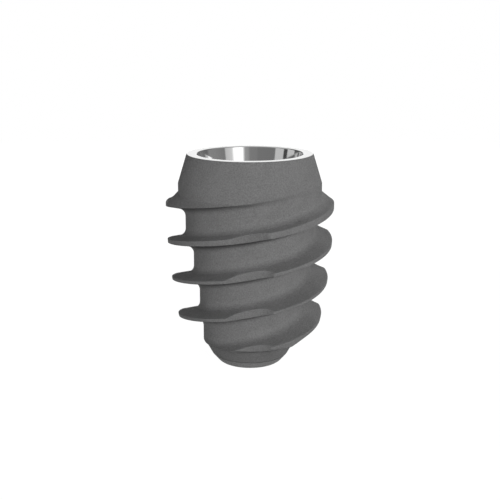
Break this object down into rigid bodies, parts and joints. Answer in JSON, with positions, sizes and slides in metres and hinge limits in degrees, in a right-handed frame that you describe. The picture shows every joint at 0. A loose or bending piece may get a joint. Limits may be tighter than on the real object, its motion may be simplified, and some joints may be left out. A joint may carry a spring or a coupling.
{
  "type": "dental implant",
  "caption": "Short wide tapered dental implant fixture with a coarse double-start thread, self-tapping flutes, a back-tapered collar and an internal conical connection.",
  "frame": {"origin": "centre of the flat apical end, on the implant's axis", "axes": "+Z along the axis from the apical end up to the platform; -Y faces the viewer and crosses the middle of one cutting flute"},
  "size_m": [0.0054, 0.0054, 0.007],
  "materials": {
    "blasted_titanium": "blasted and etched matte titanium, polished on the platform ring and in the conical seat"
  },
  "bodies": {
    "root": {"implant_body": "blasted_titanium"}
  },
  "joints": []
}
